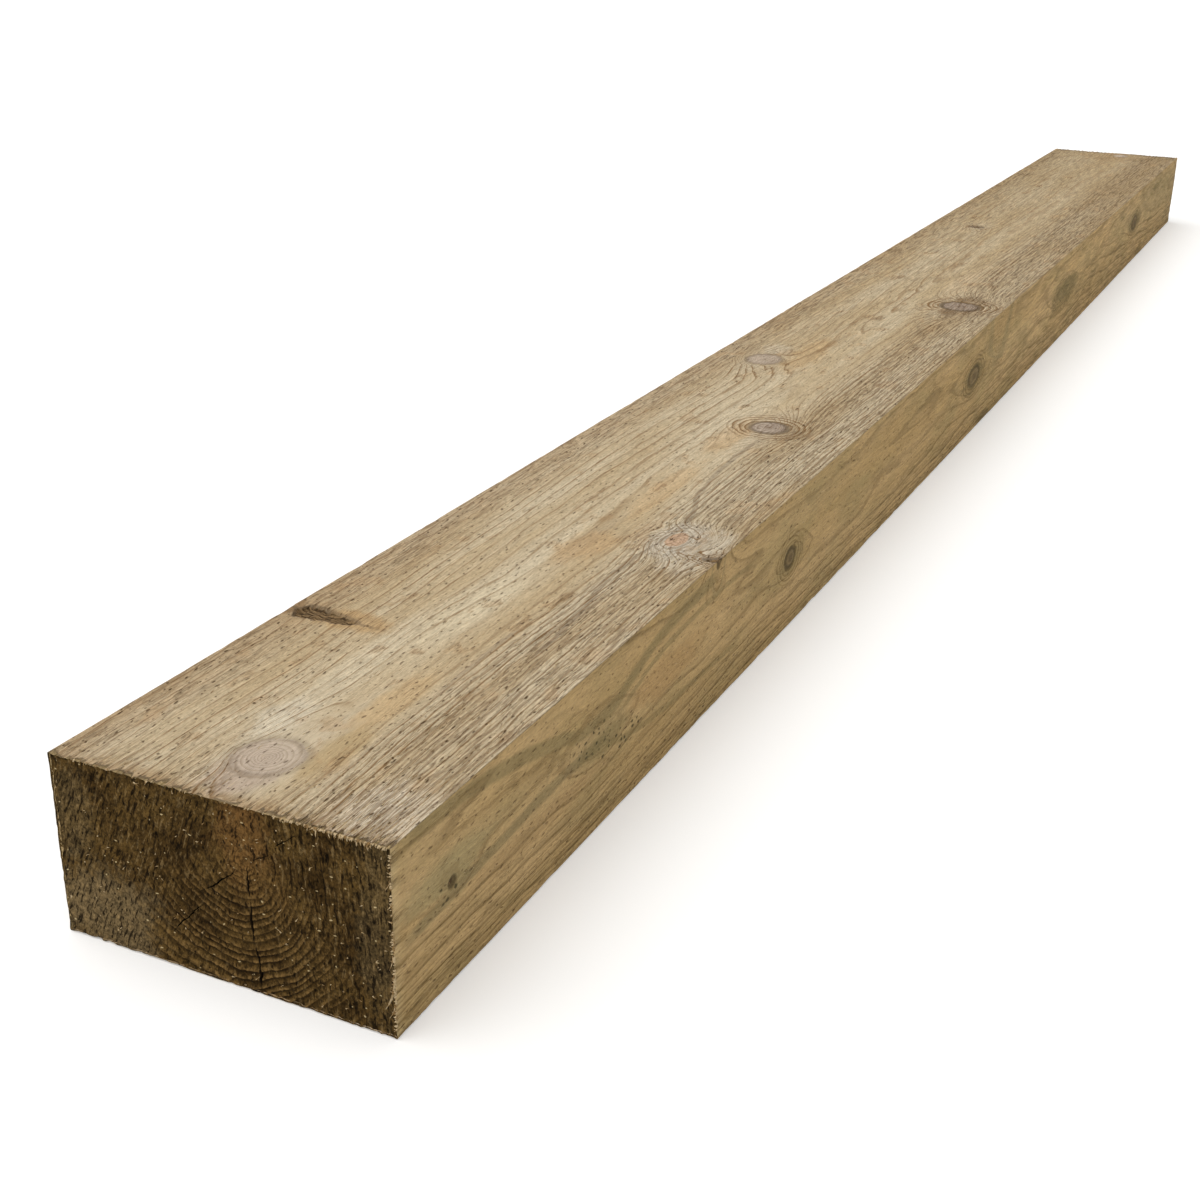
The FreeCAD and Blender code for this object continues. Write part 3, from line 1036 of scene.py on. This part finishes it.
# End grain: how squarely a face looks along X, how near the end it lies, and how far from the long faces
# every face there counts as end grain.
END_FACING = 0.62
END_DEPTH_MM = 4.0
END_INNER_MM = 2.5
BAULK_TRIANGLES = 194000

def mark_ends(obj):
    """Gives the end grain material to the faces that look along the length."""
    mesh = obj.data
    normals = np.empty(len(mesh.polygons) * 3, np.float32)
    mesh.polygons.foreach_get("normal", normals)
    facing_end = np.abs(normals.reshape(-1, 3)[:, 0]) > END_FACING
    centres = np.empty(len(mesh.polygons) * 3, np.float32)
    mesh.polygons.foreach_get("center", centres)
    x, y, z = centres.reshape(-1, 3).T / MM
    near_end = np.abs(x) > HALF_LENGTH_MM - END_DEPTH_MM
    from_long_faces = np.minimum(HALF_WIDTH_MM - np.abs(y), np.minimum(z, THICKNESS_MM - z))
    inside_end = from_long_faces > END_INNER_MM
    mesh.polygons.foreach_set("material_index", (near_end & (facing_end | inside_end)).astype(np.int32))


def check_cutters(material):
    """Jagged wedges that cut the drying checks, from outside the end to their full depth."""
    draw = np.random.default_rng(SEED)
    places, faces = [], []
    for angle, near, reach, gape in CHECKS:
        turn = math.radians(angle)
        along = np.array([math.cos(turn), math.sin(turn)])
        beside = np.array([-along[1], along[0]])
        steps = max(7, int(reach / 1.8))
        share = np.linspace(0.0, 1.0, steps)
        drift = np.cumsum(draw.normal(0.0, 0.32, steps))
        drift -= np.linspace(drift[0], drift[-1], steps)
        fullness = 0.5 if 260.0 < angle < 280.0 else 0.3
        half = fullness * gape * np.sin(np.pi * share) ** 0.5 * draw.uniform(0.4, 1.4, steps)
        half = np.maximum(half, 0.05)
        spine = np.array([PITH_Y, PITH_Z]) + along * (near + reach * share)[:, None] + beside * drift[:, None]
        outline = np.concatenate([spine - beside * half[:, None], (spine + beside * half[:, None])[::-1]])
        deep = np.concatenate([spine, spine[::-1]]) * 0.5 + outline * 0.5
        middle = spine.mean(0)
        deep = middle + (deep - middle) * 0.7
        offset = len(places)
        count = len(outline)
        for at, ring in ((-3.0, outline), (2.0, outline), (CHECK_DEPTH_MM, deep)):
            places += [(at, *point) for point in ring]
        for layer in range(2):
            for i in range(count):
                j = (i + 1) % count
                low = offset + layer * count
                faces.append((low + i, low + j, low + count + j, low + count + i))
        faces.append(tuple(range(offset + count - 1, offset - 1, -1)))
        faces.append(tuple(range(offset + 2 * count, offset + 3 * count)))
    mesh = bpy.data.meshes.new("check_cutters")
    mesh.from_pydata([tuple(p) for p in metres(np.array(places))], [], faces)
    mesh.materials.append(material)
    made = bpy.data.objects.new("check_cutters", mesh)
    bpy.context.scene.collection.objects.link(made)
    tidy = bmesh.new()
    tidy.from_mesh(mesh)
    bmesh.ops.recalc_face_normals(tidy, faces=tidy.faces)
    tidy.to_mesh(mesh)
    tidy.free()
    return made


def build_baulk(shader_group, geometry_group):
    """The sleeper itself: carved, thinned, and cut by its drying checks."""
    places, quads, ends = box_grid()
    materials = [long_grain(shader_group), end_grain(shader_group)]
    baulk = mesh_from("sleeper_baulk", metres(places), quads, ends.astype(int), materials)
    values = sampled(baulk, geometry_group)
    moved = metres(sculpted(places, values))
    baulk.data.vertices.foreach_set("co", moved.astype(np.float32).ravel())
    baulk.data.update()
    triangles = 2 * len(baulk.data.polygons)
    thin = baulk.modifiers.new("thin", "DECIMATE")
    thin.ratio = BAULK_TRIANGLES / triangles
    applied(baulk)
    keep_inside(baulk)
    mark_ends(baulk)
    cutters = check_cutters(check_wall_painted_shade())
    cut = baulk.modifiers.new("checks", "BOOLEAN")
    cut.operation = "DIFFERENCE"
    cut.solver = "EXACT"
    cut.material_mode = "TRANSFER"
    cut.object = cutters
    applied(baulk)
    bpy.data.objects.remove(cutters)
    return baulk


# ---------------------------------------------------------------- torn fibres


def strand_mesh(paths, widths):
    """Closed, tapering three-sided strands along paths with as many points each.

    paths is strands x points x 3, in mm.
    """
    count, points, _ = paths.shape
    travel = np.gradient(paths, axis=1)
    travel /= np.maximum(np.linalg.norm(travel, axis=2, keepdims=True), 1e-9)
    helper = np.where(np.abs(travel[..., 2:]) < 0.8, [0.0, 0.0, 1.0], [1.0, 0.0, 0.0])
    side = np.cross(travel, helper)
    side /= np.maximum(np.linalg.norm(side, axis=2, keepdims=True), 1e-9)
    up = np.cross(side, travel)
    taper = np.linspace(1.0, 0.15, points)[None, :, None]
    rings = []
    for turn in (90.0, 210.0, 330.0):
        angle = math.radians(turn)
        arm = side * math.cos(angle) + up * math.sin(angle) * 0.6
        rings.append(paths + arm * taper * widths[:, None, None] * 0.5)
    places = np.stack(rings, axis=2).reshape(-1, 3)
    base = np.arange(count)[:, None] * points * 3
    faces = []
    for step in range(points - 1):
        for corner in range(3):
            after = (corner + 1) % 3
            a = base + step * 3 + corner
            b = base + step * 3 + after
            faces.append(np.hstack([a, b, b + 3]))
            faces.append(np.hstack([a, b + 3, a + 3]))
    last = base + (points - 1) * 3
    faces.append(np.hstack([base + 2, base + 1, base]))
    faces.append(np.hstack([last, last + 1, last + 2]))
    return places, np.concatenate(faces)


def inside_box(places, margin=0.02):
    """The places in mm, moved into the sleeper's box."""
    low = np.array([margin, margin - HALF_WIDTH_MM, margin])
    high = np.array([LENGTH_MM - margin, HALF_WIDTH_MM - margin, THICKNESS_MM - margin])
    return np.clip(places, low, high)


def end_flecks(draw, count, at_far_end):
    """Short fibres that lie on a sawn end, curled every way."""
    y = draw.uniform(-96.0, 96.0, count)
    z = draw.uniform(3.0, 101.0, count)
    length = draw.gamma(1.3, 0.6, count) + 0.6
    angle = draw.uniform(0.0, 2 * np.pi, count)
    curl = draw.normal(0.0, 0.5, count)
    share = np.linspace(0.0, 1.0, 5)[None, :]
    turn = angle[:, None] + curl[:, None] * share
    paths = np.empty((count, 5, 3))
    paths[..., 0] = draw.uniform(0.1, 0.7, count)[:, None] + 0.5 * share**2
    paths[..., 1] = y[:, None] + np.cos(turn) * length[:, None] * share
    paths[..., 2] = z[:, None] + np.sin(turn) * length[:, None] * share
    if at_far_end:
        paths[..., 0] = LENGTH_MM - paths[..., 0]
    return paths, draw.uniform(0.6, 1.2, count)


def mostly_right(draw, count, share, near_arris, span):
    """Places across the width: that share of them near the right arris, and the rest anywhere."""
    chosen = draw.random(count) < share
    at_right = draw.triangular(*near_arris, count)
    anywhere = draw.uniform(-span, span, count)
    return np.where(chosen, at_right, anywhere)

def end_fringe(draw, count):
    """Fibres of the top face that hang over the edge of the dark end, most of them at the right."""
    y = mostly_right(draw, count, 0.7, (-98.0, -92.0, -30.0), 98.0)
    length = np.minimum(draw.gamma(1.6, 0.6, count) + 0.4, 4.0) * np.where(y < -55.0, 1.2, 0.7)
    lean = draw.normal(0.2, 0.35, count)
    share = np.linspace(0.0, 1.0, 5)[None, :]
    paths = np.empty((count, 5, 3))
    paths[..., 0] = 1.2 - 1.1 * np.minimum(share * 2.5, 1.0) + 0.5 * share**2
    paths[..., 1] = y[:, None] + lean[:, None] * length[:, None] * share
    paths[..., 2] = THICKNESS_MM - 0.5 - length[:, None] * share**1.3
    return paths, draw.uniform(0.7, 1.9, count)


def side_fringe(draw, count):
    """Fibres of the right face that stick out past the edge of the end."""
    z = draw.uniform(2.0, 101.0, count)
    length = np.minimum(draw.gamma(1.5, 0.6, count) + 0.4, 3.6)
    lean = draw.normal(-0.3, 0.4, count)
    share = np.linspace(0.0, 1.0, 5)[None, :]
    paths = np.empty((count, 5, 3))
    paths[..., 0] = 1.3 - 1.1 * np.minimum(share * 2.5, 1.0) + 0.4 * share**2
    paths[..., 1] = -HALF_WIDTH_MM + 0.5 + length[:, None] * share**1.2 * 0.8
    paths[..., 2] = z[:, None] + lean[:, None] * length[:, None] * share
    return paths, draw.uniform(0.7, 1.9, count)


def corner_splinters():
    """The larger splinters torn from the lower right corner of the end."""
    rows = [
        (-98.2, 36.0, -95.5, 19.0, 1.7),
        (-98.0, 28.0, -93.0, 15.5, 2.0),
        (-98.4, 20.0, -95.0, 11.0, 1.3),
        (-97.5, 46.0, -95.8, 38.0, 1.1),
        (-98.3, 88.0, -95.2, 81.0, 1.2),
    ]
    share = np.linspace(0.0, 1.0, 5)
    paths = []
    for y0, z0, y1, z1, width in rows:
        bow = np.sin(np.pi * share) * 1.2
        y = y0 + (y1 - y0) * share - bow * 0.5
        z = z0 + (z1 - z0) * share
        paths.append(np.column_stack([1.2 - 0.9 * share, y, z]))
    return np.array(paths), np.array([row[-1] for row in rows])


def lifted_fibres(draw, count, surface):
    """Pale fibres lifted from the top face, most of them towards the right arris and the checked end."""
    x = 4.0 + (LENGTH_MM - 30.0) * draw.random(count) ** 2.2
    y = mostly_right(draw, count, 0.6, (-97.0, -90.0, -20.0), 96.0)
    length = draw.gamma(3.0, 1.4, count) + 2.0
    x = x + length * 0.5
    lean = draw.normal(0.0, 0.06, count)
    share = np.linspace(0.0, 1.0, 5)[None, :]
    paths = np.empty((count, 5, 3))
    paths[..., 0] = x[:, None] + length[:, None] * (share - 0.5)
    paths[..., 1] = y[:, None] + lean[:, None] * length[:, None] * (share - 0.5)
    for path in paths.reshape(-1, 3):
        path[2] = surface(path[0], path[1])
    paths[..., 2] += 0.05 + 0.3 * share**3 * draw.random(count)[:, None]
    return paths, draw.uniform(0.25, 0.55, count)


# How many torn fibres of each kind there are, and how far their middles stay inside the box.
NEAR_FLECKS, FAR_FLECKS = 110, 90
TOP_FRINGE, RIGHT_FRINGE = 130, 140
LIFTED = 2600
FIBRE_MARGIN_MM = 0.3

def build_fibres(baulk):
    """All the torn fibres as one piece, held inside the sleeper's own box."""
    draw = np.random.default_rng(SEED + 1)
    above = THICKNESS_MM * MM + 0.01
    down = Vector((0.0, 0.0, -1.0))

    def surface(x, y):
        """The height of the top face at a place, in mm."""
        start = Vector(((x - HALF_LENGTH_MM) * MM, y * MM, above))
        hit, spot, _, _ = baulk.ray_cast(start, down)
        return max(spot.z / MM, THICKNESS_MM - 4.0) if hit else THICKNESS_MM - 1.0

    groups = [
        end_flecks(draw, NEAR_FLECKS, False),
        end_flecks(draw, FAR_FLECKS, True),
        end_fringe(draw, TOP_FRINGE),
        side_fringe(draw, RIGHT_FRINGE),
        corner_splinters(),
        lifted_fibres(draw, LIFTED, surface),
    ]
    places, faces, offset = [], [], 0
    for paths, widths in groups:
        made, these = strand_mesh(inside_box(paths, FIBRE_MARGIN_MM), widths)
        places.append(inside_box(made))
        faces.append(these + offset)
        offset += len(made)
    places = metres(np.concatenate(places))
    return mesh_from("torn_fibres", places, np.concatenate(faces), None, [fibre_material()])


# ---------------------------------------------------------------- stage, light and camera


# The camera fitted to the sleeper's corners in the photo: place in metres, direction, and roll in degrees.
CAMERA_PLACE = (-1.735, -0.454, 0.4975)
CAMERA_FORWARD = (0.8308, 0.3939, -0.3931)
CAMERA_ROLL = 0.88
LENS_MM, SENSOR_MM = 49.98, 36.0
# The floor in metres: its size and how far it lies below the sleeper.
FLOOR_SIZE = 60.0
FLOOR_DROP = 0.0004

def stage():
    """A pale floor that looks white to the camera and keeps the shadow."""
    material = bpy.data.materials.new("floor")
    material.use_nodes = True
    tree = material.node_tree
    tree.nodes.clear()
    output = tree.nodes.new("ShaderNodeOutputMaterial")
    diffuse = tree.nodes.new("ShaderNodeBsdfDiffuse")
    diffuse.inputs["Color"].default_value = (0.86, 0.85, 0.83, 1.0)
    glow = tree.nodes.new("ShaderNodeEmission")
    path = tree.nodes.new("ShaderNodeLightPath")
    seen = Wire(tree, path.outputs["Is Camera Ray"]) + Wire(tree, path.outputs["Is Glossy Ray"])
    seen = (seen + Wire(tree, path.outputs["Is Transmission Ray"])).clamp()
    plug(tree, glow.inputs["Strength"], seen * 0.25)
    both = tree.nodes.new("ShaderNodeAddShader")
    tree.links.new(diffuse.outputs[0], both.inputs[0])
    tree.links.new(glow.outputs[0], both.inputs[1])
    tree.links.new(both.outputs[0], output.inputs[0])
    bpy.ops.mesh.primitive_plane_add(size=FLOOR_SIZE, location=(0.0, 0.0, -FLOOR_DROP))
    floor = bpy.context.object
    floor.name = "floor"
    floor.data.materials.append(material)


def sky():
    """A white world that looks brighter to the camera than it shines on the sleeper."""
    world = bpy.data.worlds.new("studio")
    bpy.context.scene.world = world
    world.use_nodes = True
    tree = world.node_tree
    tree.nodes.clear()
    output = tree.nodes.new("ShaderNodeOutputWorld")
    background = tree.nodes.new("ShaderNodeBackground")
    path = tree.nodes.new("ShaderNodeLightPath")
    seen = Wire(tree, path.outputs["Is Camera Ray"])
    strength = seen * 0.45 + 0.55
    background.inputs["Color"].default_value = (1.0, 1.0, 1.0, 1.0)
    plug(tree, background.inputs["Strength"], strength)
    tree.links.new(background.outputs[0], output.inputs[0])


def sun(name, towards, softness, strength):
    """A very soft lamp far away in the direction towards."""
    light = bpy.data.lights.new(name, "SUN")
    light.angle = math.radians(softness)
    light.energy = strength
    made = bpy.data.objects.new(name, light)
    made.rotation_euler = Vector(towards).to_track_quat("Z", "Y").to_euler()
    bpy.context.scene.collection.objects.link(made)


def camera():
    """The camera at the photo's viewing angle."""
    data = bpy.data.cameras.new("camera")
    data.lens = LENS_MM
    data.sensor_width = SENSOR_MM
    made = bpy.data.objects.new("camera", data)
    bpy.context.scene.collection.objects.link(made)
    place = Vector(CAMERA_PLACE)
    forward = Vector(CAMERA_FORWARD).normalized()
    turn = forward.to_track_quat("-Z", "Y")
    roll = Matrix.Rotation(math.radians(CAMERA_ROLL), 4, "Z")
    made.matrix_world = Matrix.Translation(place) @ turn.to_matrix().to_4x4() @ roll
    data.clip_start = 0.01
    data.clip_end = 100.0
    bpy.context.scene.camera = made


camera()
stage()
sky()
sun("key", (-0.25, 0.45, 1.0), 65.0, 1.55)
sun("fill", (-0.75, -0.85, 0.55), 80.0, 0.62)
bpy.context.scene.view_settings.view_transform = "Standard"

baulk = build_baulk(field_group("ShaderNodeTree"), field_group("GeometryNodeTree"))
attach(baulk, "root")
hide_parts("sleeper_timber")
fibres = build_fibres(baulk)
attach(fibres, "root")
